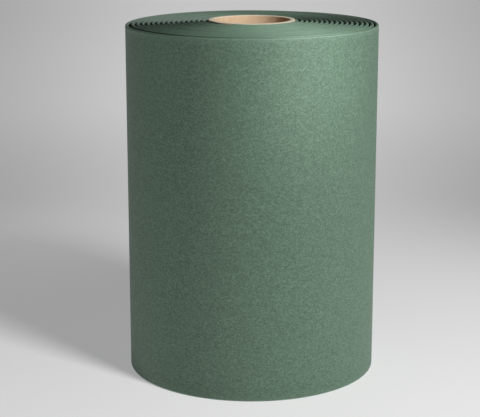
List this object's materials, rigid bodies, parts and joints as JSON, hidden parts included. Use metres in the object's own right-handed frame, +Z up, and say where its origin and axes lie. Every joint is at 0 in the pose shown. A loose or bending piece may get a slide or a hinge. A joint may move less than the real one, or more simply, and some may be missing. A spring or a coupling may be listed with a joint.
{
  "type": "roll of roofing felt",
  "caption": "Roll of green granule-faced roofing felt wound in open turns on a cardboard core and stood on end; strip-width sheet stock for covering a roof, eaves or ridge.",
  "frame": {"origin": "on the axis of the core's bore, where the roll's lower end meets the floor", "axes": "+Z up along the core's axis; -Y towards the picture's camera; the free end of the sheet is at the back, at a bearing of 65 degrees from +X"},
  "size_m": [0.25, 0.2477, 0.3533],
  "materials": {
    "green_felt": "matte",
    "kraft_board": "matte"
  },
  "bodies": {
    "root": {"felt_roll": "green_felt", "core_tube": "kraft_board"}
  },
  "joints": []
}
